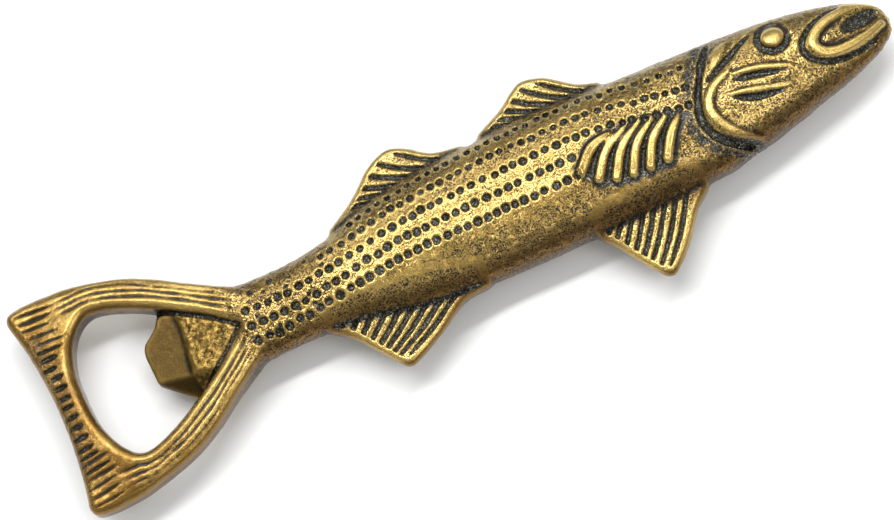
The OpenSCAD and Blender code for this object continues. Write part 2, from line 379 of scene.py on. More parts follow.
def fin_field(node, plan, cut):
    """A plate with a rounded edge that thickens from the edge to the root."""
    half = box_mm(node)[1][2] - 0.25
    part = plan[cut[0], cut[1]]
    outside = body_plan(GX[cut[0]][:, None], GY[cut[1]][None, :])
    thick = half + 0.55 * smoothstep(5, 0, outside)
    across = (part + FIN_ROUND)[:, :, None]
    out = np.abs(GZ[cut[2]])[None, None, :] - (thick - FIN_ROUND)[:, :, None]
    return rounded_plate(across, out, FIN_ROUND)


# ---- Relief: one map of heights in plan, the same on both flanks
HALF_SPAN = box_mm("tail_edge")[1][1]


def near(path, reach):
    """Distance to a finely divided path, and the share of its length where it is nearest."""
    cut = window(path.min(0) - reach, path.max(0) + reach)
    px, py = PX[cut], PY[cut]
    best = np.full(px.shape, 1e9)
    share = np.zeros(px.shape)
    for k, (x, y) in enumerate(path):
        gap = (px - x) ** 2 + (py - y) ** 2
        closer = gap < best
        best[closer] = gap[closer]
        share[closer] = k / (len(path) - 1)
    return cut, np.sqrt(best), share


class Relief:
    """Heights in millimetres above the smooth skin, and where it is smooth, rough-cast or brown, and where
    patina and painted shade darken it.
    """

    def __init__(self):
        self.height = np.zeros(PX.shape, np.float32)
        self.smooth = np.zeros(PX.shape, np.float32)
        self.rough = np.zeros(PX.shape, np.float32)
        self.soot_and_shade = np.zeros(PX.shape, np.float32)
        self.brown = np.zeros(PX.shape, np.float32)

    def lift(self, name, values, cut=...):
        """Lifts one of the maps to the values wherever they are higher."""
        part = getattr(self, name)
        part[cut] = np.maximum(part[cut], values)

    def profile(self, points, width, ends):
        """Cross-section of a stroke: 1 along its middle and 0 at its sides, its width a share of ends[0] at
        the start, 1 halfway and ends[1] at the end."""
        points = np.array(points, float)
        length = np.linalg.norm(np.diff(points, axis=0), axis=1).sum()
        steps = max(3, int(length / len(points) / STEP * 1.6))
        cut, gap, share = near(curve(points, steps), width * max(1, *ends) + 0.4)
        first = ends[0] + (1 - ends[0]) * np.sin(np.pi * share) ** 0.7
        second = ends[1] + (1 - ends[1]) * np.sin(np.pi * share) ** 0.7
        wide = width * np.where(share < 0.5, first, second)
        return cut, 1 - smoothstep(0.16, 0.5, gap / wide), wide / width

    def stroke(self, points, width, height, ends=(0.35, 0.35), mask=None, soot_and_shade=0.0):
        """Cuts a groove (height below 0) or raises a ridge (above 0) along a curve."""
        cut, shape, wide = self.profile(points, width, ends)
        if mask is not None:
            shape = shape * mask[cut]
        self.height[cut] += height * np.minimum(wide, 1) * shape
        if height > 0:
            self.lift("smooth", 0.75 * shape, cut)
        if soot_and_shade:
            self.lift("soot_and_shade", soot_and_shade * shape, cut)

    def shade(self, points, width, soot_and_shade):
        """Painted shade along a curve, fading out to its sides, kept in the same map as the patina."""
        cut, gap, _ = near(curve(points, 8), width)
        self.lift("soot_and_shade", soot_and_shade * smoothstep(width, 0.15 * width, gap), cut)

    def dimple(self, x, y, radius, depth):
        """A round pit with a faint raised rim and a low boss in its floor."""
        cut = window((x - 2 * radius, y - 2 * radius), (x + 2 * radius, y + 2 * radius))
        gap = np.hypot(PX[cut] - x, PY[cut] - y) / radius
        rim = 0.16 * depth * np.exp(-((gap - 1.32) / 0.25) ** 2)
        boss = 0.3 * depth * np.exp(-(gap / 0.35) ** 2)
        pit = 1 - smoothstep(0.5, 1.1, gap)
        self.height[cut] += rim + boss - depth * pit
        self.lift("soot_and_shade", pit, cut)


def dimple_rows(relief, rng):
    """Five rows of cast dimples along the flanks, in place of the bass's stripes."""
    on_trunk = (0.83, 0.59, 0.31, 0.04, -0.23)
    on_stem = (0.90, 0.58, 0.17, -0.22, -0.58)
    first_x = (63, 56, 40, 40, 40)
    last_x = (129, 127, 126, 104, 103)
    for row in range(5):
        x = first_x[row]
        while x < last_x[row]:
            i = int((x - GX[0]) / STEP)
            share = on_stem[row] + (on_trunk[row] - on_stem[row]) * smoothstep(45, 72, x)
            share -= (0.24 if row else 0.16) * smoothstep(105, 127, x)
            y = CENTRE[i] + HALF_DEPTH[i] * share + rng.normal(0, 0.12)
            radius = (0.60, 0.68, 0.74, 0.80, 0.82)[row] * rng.uniform(0.82, 1.12)
            relief.dimple(x, y, radius, rng.uniform(0.4, 0.7))
            x += 2.02 * rng.uniform(0.84, 1.16)
    for _ in range(16):
        x, y = rng.uniform(39, 56), rng.uniform(-6, 6)
        relief.dimple(x, y, rng.uniform(0.35, 0.6), rng.uniform(0.25, 0.45))


def fan(relief, roots, angles, count, length, plan, width, rng):
    """Ray grooves of a fin, from its root to just short of its border, with rough sooty floors."""
    mask = smoothstep(-FIN_BORDER + 0.35, -FIN_BORDER - 0.25, plan)
    mask *= smoothstep(-0.2, 0.5, body_plan(PX, PY))
    for k in range(count):
        t = k / (count - 1)
        start = np.array(roots[0]) + t * (np.array(roots[1]) - roots[0])
        angle = math.radians(angles[0] + t * (angles[1] - angles[0]) + rng.normal(0, 0.7))
        way = np.array([math.cos(angle), math.sin(angle)])
        bend = np.array([-way[1], way[0]]) * 0.35
        path = [start, start + way * length / 2 + bend, start + way * length]
        relief.stroke(path, width * rng.uniform(0.9, 1.1), -0.62, (0.8, 0.6), mask, 1.0)


def worn_places(relief, plans, ring):
    """Handled places that lost their casting grain: the flank's crest, the ring and the fins' borders."""
    share = np.abs(PY - CENTRE[:, None]) / HALF_DEPTH[:, None]
    crest = smoothstep(0.8, 0.35, share) * smoothstep(46, 62, PX) * smoothstep(122, 106, PX)
    on_ring = smoothstep(FORK_X + 2, FORK_X - 4, PX) * (ring < 0.5)
    relief.lift("smooth", 0.62 * crest)
    relief.lift("smooth", 0.75 * on_ring)
    for plan in plans.values():
        border = smoothstep(-FIN_BORDER - 0.3, -FIN_BORDER + 0.3, plan) * (plan < 0.5)
        relief.lift("smooth", 0.7 * border)


def browned_places(relief):
    """Places that took on a brown tone: most on the tail's tips and bar, less on the arms and the stem."""
    tips = 0.42 * smoothstep(15, 6, PX) + 0.15 * smoothstep(30, 22, PX) * (1 + (PY < 0))
    stem = 0.45 * smoothstep(62, 46, PX)
    relief.brown = (stem + tips).astype(np.float32)


def fin_roots(relief, plans):
    """A crevice where each fin meets the body, darkened with painted shade, deepest behind the anal fin."""
    edge = body_plan(PX, PY)
    for node, plan in plans.items():
        deep = 1.0 if node == "anal_fin" else 0.45
        crevice = deep * np.exp(-((edge - 0.3) / 0.6) ** 2) * smoothstep(0, -1.0, plan)
        relief.height -= (0.3 * crevice).astype(np.float32)
        # Painted shade along the crevice.
        relief.lift("soot_and_shade", crevice)


def fin_rays(relief, plans, rng):
    fan(relief, ((110.4, 12.7), (96.2, 12.9)), (139, 157), 6, 9, plans["first_dorsal_fin"], 1.25, rng)
    fan(relief, ((82.0, 12.5), (68.0, 10.6)), (142, 164), 6, 9, plans["second_dorsal_fin"], 1.25, rng)
    fan(relief, ((76.6, -10.4), (56.4, -6.0)), (209, 221), 9, 15, plans["anal_fin"], 1.15, rng)
    fan(relief, ((119.0, -12.6), (105.0, -11.4)), (233, 229), 8, 13, plans["pelvic_fin"], 1.15, rng)


def arm_strands(relief, plan):
    """Broad rounded strands down both arms, with a thin broken groove between each two."""
    outer = np.interp(GX, *edge_of("upper_tail_arm", True))[:, None]
    inner = np.interp(GX, *edge_of("upper_tail_arm", False))[:, None]
    across = (np.abs(PY) - inner) / (outer - inner)
    ends = smoothstep(ARM_REAR - 5, ARM_REAR + 1, PX) * smoothstep(FORK_X + 1.5, FORK_X - 4, PX)
    inside = ends * smoothstep(-0.5, -1.2, plan)
    for side in (-1, 1):
        for share in (0.38, 0.57, 0.76, 0.9):
            drift = 0.016 * np.sin(PX / 2.9 + 9 * share + side)
            drift = drift + 0.009 * np.sin(PX / 1.1 + 5 * share + 2 * side)
            gap = np.abs(across - share - drift) * (outer - inner)
            broken = 0.72 + 0.28 * np.sin(PX / 0.9 + 11 * share + side) * np.sin(PX / 2.3 + side)
            here = inside * (PY * side > 0)
            bank = smoothstep(0.8, 0.2, gap) * here
            cut = smoothstep(0.34, 0.08, gap) * here * broken
            relief.height -= (0.17 * bank + 0.17 * cut).astype(np.float32)
            relief.lift("soot_and_shade", 0.5 * cut)


def tail_grooves(relief, plan, rng):
    """Drop-shaped rays across the rear bar and thinner, longer ones on the tips, in a border darkened with
    painted shade and a brown tone.
    """
    mask = smoothstep(-0.45, -1.0, plan)
    rear = [(3.0, -12), (3.7, -6), (3.9, 0), (3.7, 6), (3.0, 12)]
    # Painted shade along the rear bar; the brown added below deepens the same band.
    relief.shade(rear, 4.0, 0.36)
    reach = 4.6
    cut, gap, _ = near(curve(rear, 8), reach)
    relief.brown[cut] += (0.5 * smoothstep(reach, 1.0, gap)).astype(np.float32)
    y = -HALF_SPAN + 1.3
    while y < HALF_SPAN - 1:
        tip = float(smoothstep(8, 12, abs(y)))
        start = 1.2 + 2.0 * (1 - (y / HALF_SPAN) ** 2) + rng.uniform(-0.3, 0.3)
        reach = rng.uniform(2.3, 3.2) + tip * rng.uniform(2.6, 5.5)
        lean = 0.10 * reach * np.sign(-y) * tip + rng.normal(0, 0.12)
        path = [(start, y), (start + reach / 2, y + lean / 2), (start + reach, y + lean)]
        width = rng.uniform(1.0, 1.45) - tip * rng.uniform(0.35, 0.5)
        depth = rng.uniform(0.3, 0.5) - 0.14 * tip
        relief.stroke(path, width, -depth, (0.55, 0.15), mask, rng.uniform(0.1, 0.5) - 0.1 * tip)
        y += rng.uniform(1.7, 2.2) - 0.45 * tip


def edge_of(node, outer):
    """The outer or the inner edge of a tail arm, as y against x."""
    loop = ordered(plate_edges(node))[0]
    pick = max if outer else min
    edge = np.array([(x, pick(abs(p[1]) for p in loop if p[0] == x)) for x in np.unique(loop[:, 0])])
    middle = np.polyfit(loop[:, 0], np.abs(loop[:, 1]), 1)
    edge = edge[(edge[:, 1] > np.polyval(middle, edge[:, 0])) == outer]
    return edge[:, 0], edge[:, 1]


# ---- The head's features stand where the CAD model's raised pieces do
EYE = sum(box_mm("right_eye")) / 2
GILL_LO = box_mm("right_gill_cover")[0]
FAN_LO = box_mm("right_pectoral_fin")[0]


def slit_x(y):
    """The gill slit's x at a height y: deepest just below the middle, swept forward at both ends."""
    middle = -2.0
    rise = np.clip((y - middle) / 11.8, 0, 1.3)
    fall = np.clip((middle - y) / 8.5, 0, 1.3)
    return GILL_LO[0] - 1.0 + 6.6 * rise ** 1.35 + 7.5 * fall ** 3


def lip_features(relief, lip, ring):
    """A rough-cast root, a smooth ground face, and a sooty crevice where the lip meets the arms."""
    on_lip = (lip < 0.3) & (ring > 0.1) & (PX < FORK_X + 1)
    crevice = smoothstep(0.5, 0.1, np.abs(ring - 0.1)) * smoothstep(-0.1, -0.9, lip) * (PX < FORK_X + 1)
    relief.lift("soot_and_shade", 0.8 * crevice)
    relief.height -= (0.4 * crevice).astype(np.float32)
    root = smoothstep(-0.6, 0.6, PX - lip_brow(PY))
    relief.lift("rough", root * on_lip)
    relief.lift("smooth", (1 - root) * on_lip)


def gill_slit(relief):
    """The slit behind the gill cover, deep below and shallow above, in a broad dip darkened with painted
    shade.
    """
    slit = [(slit_x(y), y) for y in np.linspace(-10.4, 4.0, 8)]
    above = [(slit_x(y), y) for y in np.linspace(4.0, 9.6, 4)]
    relief.stroke([(x - 1.5, y) for x, y in slit + above[1:]], 5.4, -0.26, (0.7, 0.5))
    # Painted shade over the broad dip behind the slit.
    relief.shade([(x - 1.2, y) for x, y in slit + above[1:]], 3.2, 0.62)
    relief.stroke(slit, 2.0, -0.8, (1.15, 0.7), None, 1.0)
    relief.stroke(above, 2.0, -0.6, (0.8, 0.5), None, 0.7)


def cheek(relief):
    """The gill cover's raised rim with a crease above it, and two slashes under two ridges on the cheek."""
    relief.stroke([(132.4, 4.9), (134.0, 6.8), (136.2, 8.6)], 3.0, 0.4)
    crease = [(130.9, 3.2), (133.3, 4.4), (135.7, 5.5), (138.2, 6.9), (140.6, 8.0)]
    relief.stroke(crease, 1.7, -0.7, (0.7, 0.5), None, 0.9)
    rim = [(134.6, 3.2), (131.5, 1.9), (129.8, 0.3), (128.9, -1.5), (129.0, -3.4), (129.9, -5.4),
        (131.4, -7.4), (133.2, -8.9), (135.0, -9.9)]
    relief.stroke(rim, 2.6, 0.42, (0.5, 0.6))
    ridges = ([(134.9, 2.4), (137.5, 2.0), (140.0, 1.4), (142.7, 0.5), (144.9, -0.3)],
        [(132.8, -0.8), (135.6, -1.4), (138.3, -2.2), (140.8, -2.8), (143.7, -3.4)])
    slashes = ([(134.8, 1.3), (136.9, 0.9), (139.0, 0.5), (141.0, 0.0), (142.8, -0.6)],
        [(133.7, -1.7), (135.3, -2.4), (137.2, -3.1), (139.6, -3.5), (142.0, -4.0)])
    for ridge in ridges:
        relief.stroke(ridge, 1.8, 0.32, (0.3, 0.6))
    for slash in slashes:
        relief.stroke(slash, 1.95, -0.7, (0.3, 0.25), None, 1.0)


def head_features(relief):
    """Gill slit and cover, cheek, eye and mouth, the same on both sides of the head."""
    gill_slit(relief)
    cheek(relief)
    eye(relief)
    mouth(relief)


def eye(relief):
    """A smooth low dome in a rough ring that is deepest below and behind it."""
    cut = window(EYE[:2] - 6, EYE[:2] + 6)
    dx, dy = PX[cut] - EYE[0], PY[cut] - EYE[1]
    dome = np.hypot(dx / 2.3, dy / 2.0)
    gap = np.hypot(dx, dy)
    low = 0.72 - 0.28 * (dy + 0.6 * dx) / np.maximum(gap, 0.3)
    ring = np.exp(-((gap - 2.7) / (0.35 + 0.35 * low)) ** 4)
    relief.height[cut] -= 0.5 * low * ring
    relief.height[cut] += 0.9 * np.clip(1 - dome ** 2.4, 0, 1) ** 0.5
    relief.lift("soot_and_shade", np.clip(2.0 * low - 0.75, 0.1, 1) * ring, cut)
    bare = smoothstep(1.08, 0.95, dome)
    relief.soot_and_shade[cut] *= 1 - bare
    relief.lift("smooth", bare, cut)


def mouth(relief):
    """A raised rim that opens towards the snout, a deep pit inside it and a groove round it."""
    groove = [(157.4, 6.3), (153.6, 5.8), (151.0, 4.7), (149.0, 3.1), (148.2, 1.6), (148.5, -0.1),
        (149.8, -1.6), (152.0, -2.5), (154.6, -2.8), (158.0, -2.5), (161.0, -1.8)]
    relief.stroke(groove, 1.55, -0.62, (0.4, 0.5), None, 1.0)
    patch, inside, _ = relief.profile([(152.8, 1.8), (154.2, 2.1), (155.6, 2.2)], 2.8, (0.7, 0.9))
    relief.height[patch] += 0.25 * inside
    relief.stroke([(156.7, 2.1), (159.3, 2.6), (162.2, 2.9)], 3.9, -0.9, (0.6, 0.75), None, 1.0)
    rim = [(163.2, 5.2), (159.9, 5.9), (157.0, 5.5), (154.2, 4.8), (151.8, 3.5), (150.5, 1.9),
        (150.7, 0.3), (152.2, -0.9), (154.5, -1.3), (157.4, -1.0), (160.2, -0.4), (163.0, 0.6)]
    cut, shape, _ = relief.profile(rim, 2.9, (1.1, 0.7))
    relief.height[cut] += 0.62 * shape
    relief.soot_and_shade[cut] *= 1 - shape
    relief.lift("smooth", shape, cut)


FINGERS = 6


def finger_line(t):
    """Centre line of one finger of the pectoral fin, root first, t from the rear finger to the front one."""
    root = FAN_LO[:2] + (8.7 + 13.2 * t - 1.4 * t ** 3, 9.3 - 2.1 * t ** 2.6)
    tip = FAN_LO[:2] + (1.0 + 14.6 * t ** 1.15, 1.0 + 4.1 * (1 - t) ** 3.6)
    way = (tip - root) / np.linalg.norm(tip - root)
    bow = (1.1 - 0.7 * t ** 6) * np.array([way[1], -way[0]])
    return [root, (root + tip) / 2 + bow, tip]


def pectoral_fans(relief):
    """Six raised fingers, narrow at the root and blunt at the tip, in a sunken place on the flank with
    patina and painted shade fading out round it.
    """
    lines = [finger_line(k / (FINGERS - 1)) for k in range(FINGERS)]
    edge = curve([line[0] for line in lines], 4)
    tips = curve([line[2] for line in lines], 4)
    hull = np.vstack([edge, lines[-1][1], tips[::-1], lines[0][1]])
    cut = window(hull.min(0) - 5, hull.max(0) + 5)
    gap = plan_distance([hull], PX[cut], PY[cut])
    forward = smoothstep(edge[-1][0] - 3, edge[-1][0], PX[cut])
    below = smoothstep(tips[-1][1] + 1.5, tips[-1][1], PY[cut])
    reach = 0.9 + 1.1 * np.clip(forward + below, 0, 1)
    relief.height[cut] -= 0.5 * smoothstep(reach, -0.4, gap)
    # Patina in the sunken place, and painted shade fading out from it, widest ahead of and below the
    # fingers.
    relief.lift("soot_and_shade", 0.9 * smoothstep(reach + 0.9, -0.1, gap), cut)
    for line in lines:
        relief.stroke(line, 2.7, 1.15, (0.4, 1.0))
        over, shape, _ = relief.profile(line, 2.7, (0.4, 1.0))
        relief.soot_and_shade[over] *= 1 - shape


# ---- Cutting the field into the casting's named features
def mesh_labels(field, skin, plans, lip, ring):
    """Which node each grid point belongs to: -1 outside."""
    number = {node: k for k, node in enumerate(NODES)}
    y, z = PY[:, :, None], GZ[None, None, :]
    labels = np.where(PX < ARM_REAR, number["tail_edge"], number["upper_tail_arm"])
    labels[(PX >= ARM_REAR) & (PY < 0)] = number["lower_tail_arm"]
    labels[(lip < 0) & (ring > -0.2) & (PX < FORK_X)] = number["prying_lip"]
    labels[PX >= FORK_X] = number["tail_stem"]
    labels[PX >= STEM_FRONT] = number["trunk"]
    labels[PX >= slit_x(PY)] = number["head"]
    labels = np.repeat(labels.astype(np.int8)[:, :, None], len(GZ), axis=2)
    for node in FINS:
        lo, hi = box_mm(node)
        side = np.sign(lo[1] + hi[1])
        on_side = (np.abs(z) < 3.4) & ((y - CENTRE_MEAN) * side > 0)
        labels[(skin > 0.4) & (plans[node] < 1.2)[:, :, None] & on_side] = number[node]
    raised = (("eye", eye_region()), ("gill_cover", gill_region()), ("mouth_rim", mouth_region()),
        ("pectoral_fin", fan_region()))
    for name, region in raised:
        shell = region[:, :, None] & (skin > -0.45)
        labels[shell & (z > 1.2)] = number["right_" + name]
        labels[shell & (z < -1.2)] = number["left_" + name]
    labels[field > 0] = -1
    return labels


def near_path(points, reach):
    """Places in plan within reach of a curve."""
    inside = np.zeros(PX.shape, bool)
    cut, gap, _ = near(curve(points, 12), reach)
    inside[cut] = gap < reach
    return inside


def eye_region():
    return np.hypot((PX - EYE[0]) / 2.3, (PY - EYE[1]) / 1.9) < 1


def gill_region():
    return (np.abs(PX - slit_x(PY) - 1.4) < 1.0) & (PY > -9.8) & (PY < 8.8)


def mouth_region():
    line = [(160.5, 5.2), (156.2, 5.2), (152.3, 3.8), (150.0, 1.2), (152.9, -1.5), (155.9, -1.8),
        (162.0, 0.0)]
    return near_path(line, 1.0)


def fan_region():
    inside = np.zeros(PX.shape, bool)
    for k in range(FINGERS):
        inside |= near_path(finger_line(k / (FINGERS - 1)), 1.2)
    return inside


def trilinear(values, places):
    """Values of the grid at places given in grid steps."""
    places = np.clip(places, 0, np.array(values.shape) - 1.001)
    low = places.astype(int)
    part = places - low
    out = 0
    for corner in range(8):
        bits = [(corner >> a) & 1 for a in range(3)]
        weight = np.prod([part[:, a] if bits[a] else 1 - part[:, a] for a in range(3)], axis=0)
        out = out + weight * values[low[:, 0] + bits[0], low[:, 1] + bits[1], low[:, 2] + bits[2]]
    return out


def slope_at(values, places):
    """Gradient of the grid's field at places given in grid steps, per grid step."""
    parts = []
    for axis in range(3):
        shift = np.zeros(3)
        shift[axis] = 0.8
        parts.append((trilinear(values, places + shift) - trilinear(values, places - shift)) / 1.6)
    return np.stack(parts, 1)


def unit(ways):
    """The same directions at a length of one."""
    return ways / np.maximum(np.linalg.norm(ways, axis=1, keepdims=True), 1e-6)


def surface_points(labels, field):
    """One point in each grid cell that holds a boundary, and the cell's number for it."""
    low = labels[:-1, :-1, :-1].copy()
    high = low.copy()
    for corner in range(1, 8):
        a, b, c = corner & 1, corner >> 1 & 1, corner >> 2 & 1
        part = labels[a:labels.shape[0] - 1 + a, b:labels.shape[1] - 1 + b, c:labels.shape[2] - 1 + c]
        np.minimum(low, part, out=low)
        np.maximum(high, part, out=high)
    cells = np.argwhere(low != high)
    index = np.full(low.shape, -1, np.int32)
    index[tuple(cells.T)] = np.arange(len(cells))
    place = np.zeros((len(cells), 3))
    count = np.zeros(len(cells))
    for axis in range(3):
        others = [a for a in range(3) if a != axis]
        for corner in range(4):
            start = cells.copy()
            start[:, others[0]] += corner & 1
            start[:, others[1]] += corner >> 1
            end = start.copy()
            end[:, axis] += 1
            fa, fb = field[tuple(start.T)], field[tuple(end.T)]
            crosses = (fa > 0) != (fb > 0)
            t = np.where(crosses, fa / np.where(fa == fb, 1, fa - fb), 0)
            place += np.where(crosses[:, None], start + t[:, None] * (end - start), 0)
            count += crosses
    outer = count > 0
    place[outer] /= count[outer, None]
    place[~outer] = cells[~outer] + 0.5
    for _ in range(2):
        slope = slope_at(field, place[outer])
        value = trilinear(field, place[outer])
        move = -slope * (value / np.maximum((slope ** 2).sum(1), 1e-3))[:, None]
        size = np.linalg.norm(move, axis=1, keepdims=True)
        place[outer] += move * np.minimum(1, 0.3 / np.maximum(size, 1e-9))
    return index, place, outer


def boundary_quads(labels, index):
    """A quad for each grid edge whose ends differ: its corners, and its lower and upper ends' labels."""
    found = []
    for axis in range(3):
        u, v = (axis + 1) % 3, (axis + 2) % 3
        lower = [slice(1, -1)] * 3
        upper = [slice(1, -1)] * 3
        lower[axis], upper[axis] = slice(0, -1), slice(1, None)
        below, above = labels[tuple(lower)], labels[tuple(upper)]
        at = np.argwhere(below != above)
        pair = below[tuple(at.T)], above[tuple(at.T)]
        at += np.array([0 if a == axis else 1 for a in range(3)])
        corners = []
        for du, dv in ((1, 1), (0, 1), (0, 0), (1, 0)):
            cell = at.copy()
            cell[:, u] -= du
            cell[:, v] -= dv
            corners.append(index[tuple(cell.T)])
        found.append((np.stack(corners, 1), *pair))
    return [np.concatenate([f[k] for f in found]) for k in range(3)]


def build_piece(node, quads, points, normals, attributes):
    """A closed mesh of one named feature, with the values for its patina, polish and painted shade stored on
    its points.
    """
    used, corners = np.unique(quads.ravel(), return_inverse=True)
    mesh = bpy.data.meshes.new(node + "_cast")
    mesh.vertices.add(len(used))
    mesh.vertices.foreach_set("co", points[used].astype(np.float32).ravel())
    mesh.loops.add(len(corners))
    mesh.loops.foreach_set("vertex_index", corners.astype(np.int32))
    mesh.polygons.add(len(quads))
    mesh.polygons.foreach_set("loop_start", np.arange(0, len(corners), 4, dtype=np.int32))
    mesh.update(calc_edges=True)
    for name, values in attributes.items():
        layer = mesh.attributes.new(name, "FLOAT", "POINT")
        layer.data.foreach_set("value", values[used].astype(np.float32))
    mesh.normals_split_custom_set_from_vertices(normals[used].astype(np.float32))
    piece = bpy.data.objects.new(node + "_cast", mesh)
    bpy.context.scene.collection.objects.link(piece)
    return piece


# ---- What the materials know about the shape
COARSE = 3


def thinned(field, sigma):
    """The field on a grid COARSE times coarser, blurred by sigma millimetres."""
    thin = np.ascontiguousarray(field[::COARSE, ::COARSE, ::COARSE])
    return blur(np.clip(thin, -3, 3), sigma / COARSE)


def hollows(field, place):
    """How far each point stands proud of its surroundings: below zero in a hollow, above on an edge."""
    fine = trilinear(blur(field, 0.4), place) / 0.4
    broad = trilinear(thinned(field, 1.5), place / COARSE) / 1.5
    return {"fine": fine, "broad": broad}


def upward(field, place):
    """How far the casting's broad surface faces up to the back: -1 where it faces down to the belly."""
    return unit(slope_at(thinned(field, 1.2), place / COARSE))[:, 1]


def knowledge(field, relief, place, normals):
    """The values that the materials read at each point."""
    attributes = hollows(field, place)
    attributes["upward"] = upward(field, place)
    attributes["wall"] = 1 - np.abs(normals[:, 2])
    flat = np.concatenate([place[:, :2], np.zeros((len(place), 1))], 1)
    for name in ("soot_and_shade", "smooth", "brown"):
        values = getattr(relief, name)
        attributes[name] = trilinear(np.repeat(values[:, :, None], 3, 2), flat)
    return attributes


# ---- Sculpting the whole casting
TAIL_BLEND = 1.5
LIP_BLEND = 0.7
FIN_BLEND = 1.6


def joined_field(skin, ring, hole, lip, plans):
    """Body, tail, lip and fins, run into each other as a casting's parts are."""
    field = smooth_min(skin, tail_field(ring, hole), TAIL_BLEND)
    cut = (span(GX, LIP_LO[0] - 3, FORK_X + 6), slice(None), slice(None))
    field[cut] = smooth_min(field[cut], lip_field(lip)[cut], LIP_BLEND)
    for node in FINS:
        lo, hi = box_mm(node)
        cut = (*window(lo - 4, hi + 4), slice(None))
        field[cut] = smooth_min(field[cut], fin_field(node, plans[node], cut), FIN_BLEND)
    return field


def whole_relief(ring, lip, plans):
    """Every feature's relief. The seeded draws are made in this order."""
    rng = np.random.default_rng(SEED)
    relief = Relief()
    worn_places(relief, plans, ring)
    browned_places(relief)
    dimple_rows(relief, rng)
    fin_roots(relief, plans)
    fin_rays(relief, plans, rng)
    arm_strands(relief, ring)
    tail_grooves(relief, ring, rng)
    lip_features(relief, lip, ring)
    head_features(relief)
    pectoral_fans(relief)
    return relief


def add_relief(field, relief):
    """Raises the relief, faded out at the head's outline, and roughens the skin where it isn't worn."""
    edge = body_plan(PX, PY)
    on_head = smoothstep(GILL_X - 6, GILL_X - 2, PX)
    field -= (relief.height * (1 - on_head * smoothstep(-1.5, 0.1, edge)))[:, :, None]
    calm = 1 - 0.75 * np.clip(relief.smooth, 0, 1)[:, :, None]
    grains = np.clip(np.maximum(relief.soot_and_shade, 0.6 * relief.rough), 0, 1)[:, :, None]
    field += (0.06 * noise(5.0, 11) + 0.035 * noise(1.5, 12)) * calm
    field += 0.05 * np.minimum(noise(0.62, 13), 0.5) * calm
    field += 0.11 * noise(0.55, 17) * grains


def sculpt():
    """All the pieces of the casting, by the CAD node that each one replaces."""
    hole, outer = tail_loops()
    ring, lip = tail_plan((hole, outer)), lip_plan()
    plans = {node: fin_plan(node) for node in FINS}
    skin = body_field()
    field = joined_field(skin, ring, hole, lip, plans)
    relief = whole_relief(ring, lip, plans)
    add_relief(field, relief)
    labels = mesh_labels(field, skin, plans, lip, ring)
    index, place, _ = surface_points(labels, field)
    normals = unit(slope_at(field, place))
    attributes = knowledge(field, relief, place, normals)
    points = (START + place * STEP) * MM + ORIGIN
    quads, below, above = boundary_quads(labels, index)
    pieces = {}
    for k, node in enumerate(NODES):
        faces = np.concatenate([quads[below == k], quads[above == k][:, ::-1]])
        pieces[node] = build_piece(node, faces, points, normals, attributes)
    return pieces


# ---- Materials
class Shader:
    """A material whose nodes are added by short calls; a socket or a plain number goes in anywhere."""

    def __init__(self, name):
        self.material = bpy.data.materials.new(name)
        self.material.use_nodes = True
        self.nodes = self.material.node_tree.nodes
        self.links = self.material.node_tree.links
        self.surface = self.nodes["Principled BSDF"]
        self.place = self.nodes.new("ShaderNodeTexCoord").outputs["Object"]

    def put(self, socket, value):
        if isinstance(value, bpy.types.NodeSocket):
            self.links.new(value, socket)
        else:
            socket.default_value = value

    def attribute(self, name):
        node = self.nodes.new("ShaderNodeAttribute")
        node.attribute_name = name
        return node.outputs["Fac"]

    def noise(self, size, detail=2.0, rough=0.55):
        """Noise whose lumps are about one size apart, in millimetres, from 0 to 1."""
        node = self.nodes.new("ShaderNodeTexNoise")
        self.put(node.inputs["Vector"], self.place)
        for name, value in (("Scale", 1 / (size * MM)), ("Detail", detail), ("Roughness", rough)):
            node.inputs[name].default_value = value
        return node.outputs["Fac"]

    def math(self, operation, a, b=0.0, c=0.0):
        node = self.nodes.new("ShaderNodeMath")
        node.operation = operation
        for socket, value in zip(node.inputs, (a, b, c)):
            self.put(socket, value)
        return node.outputs["Value"]

    def remap(self, value, lo, hi, to_lo=0.0, to_hi=1.0):
        """Smooth step from to_lo to to_hi as the value goes from lo to hi."""
        node = self.nodes.new("ShaderNodeMapRange")
        node.interpolation_type = "SMOOTHSTEP"
        names = ("Value", "From Min", "From Max", "To Min", "To Max")
        for name, number in zip(names, (value, lo, hi, to_lo, to_hi)):
            self.put(node.inputs[name], number)
        return node.outputs["Result"]

    def ramp(self, factor, stops):
        """Colour that runs through the stops, each a place and a colour."""
        node = self.nodes.new("ShaderNodeValToRGB")
        for _ in stops[2:]:
            node.color_ramp.elements.new(0.5)
        for element, (place, colour) in zip(node.color_ramp.elements, stops):
            element.position = place
            element.color = (*colour, 1)
        self.put(node.inputs["Fac"], factor)
        return node.outputs["Color"]

    def mix(self, factor, a, b, blend="MIX"):
        """One colour blended over another."""
        node = self.nodes.new("ShaderNodeMix")
        node.data_type = "RGBA"
        node.blend_type = blend
        for socket, value in ((node.inputs["Factor"], factor), (node.inputs[6], a), (node.inputs[7], b)):
            self.put(socket, value if isinstance(value, (bpy.types.NodeSocket, float)) else (*value, 1))
        return node.outputs[2]

    def bump(self, height, distance, strength=1.0, below=None):
        """Fine relief, its distance in millimetres."""
        node = self.nodes.new("ShaderNodeBump")
        node.inputs["Strength"].default_value = strength
        node.inputs["Distance"].default_value = distance * MM
        self.put(node.inputs["Height"], height)
        if below is not None:
            self.put(node.inputs["Normal"], below)
        return node.outputs["Normal"]


